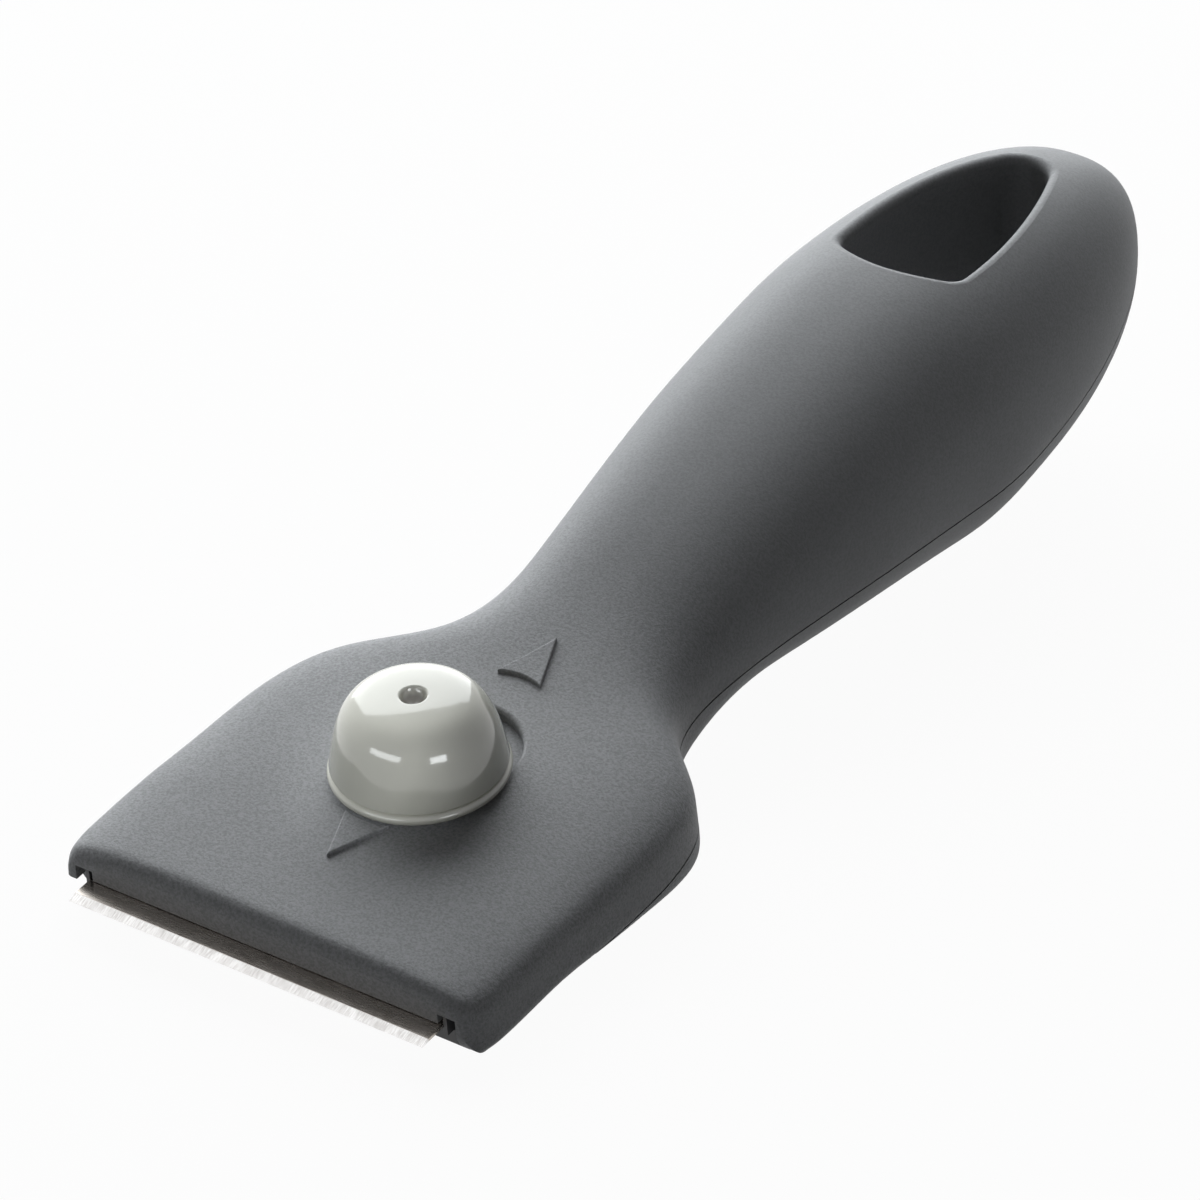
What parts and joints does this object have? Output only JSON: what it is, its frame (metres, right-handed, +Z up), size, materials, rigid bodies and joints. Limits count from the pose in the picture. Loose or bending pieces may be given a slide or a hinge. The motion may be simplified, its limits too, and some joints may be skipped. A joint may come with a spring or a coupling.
{
  "type": "ceramic hob scraper",
  "caption": "Hand scraper for glass-ceramic hobs: oval hollow handle with a hanging hole, flat wide head, and a steel blade that a bell-shaped thumb knob slides out and in.",
  "frame": {"origin": "on the table, under the middle of the tool's box as it lies on its belly and nose", "axes": "+X to the right of a user who pushes the tool forwards, +Y along the tool from the blade to the handle's end, +Z up from the table"},
  "size_m": [0.0476, 0.1422, 0.0305],
  "materials": {
    "body_plastic": "fine matte grain",
    "slider_plastic": "plain moulded",
    "knob_plastic": "polished",
    "blade_steel": "rolled, ground edge",
    "steel": "zinc bright"
  },
  "bodies": {
    "body": {"upper_shell": "body_plastic", "lower_shell": "body_plastic", "blade_cover": "body_plastic", "cover_screw": "steel", "shell_screws": "steel"},
    "slider": {"blade_carriage": "slider_plastic", "scraper_blade": "blade_steel", "blade_keeper": "slider_plastic", "keeper_screws": "steel", "friction_spring": "steel", "thumb_knob": "knob_plastic", "knob_washer": "steel", "knob_screw": "steel"}
  },
  "joints": [
    {"name": "blade_slide", "type": "slide", "parent": "body", "child": "slider", "axis": [0, 0.9917, 0.1288], "range_m": [0, 0.0044]}
  ]
}
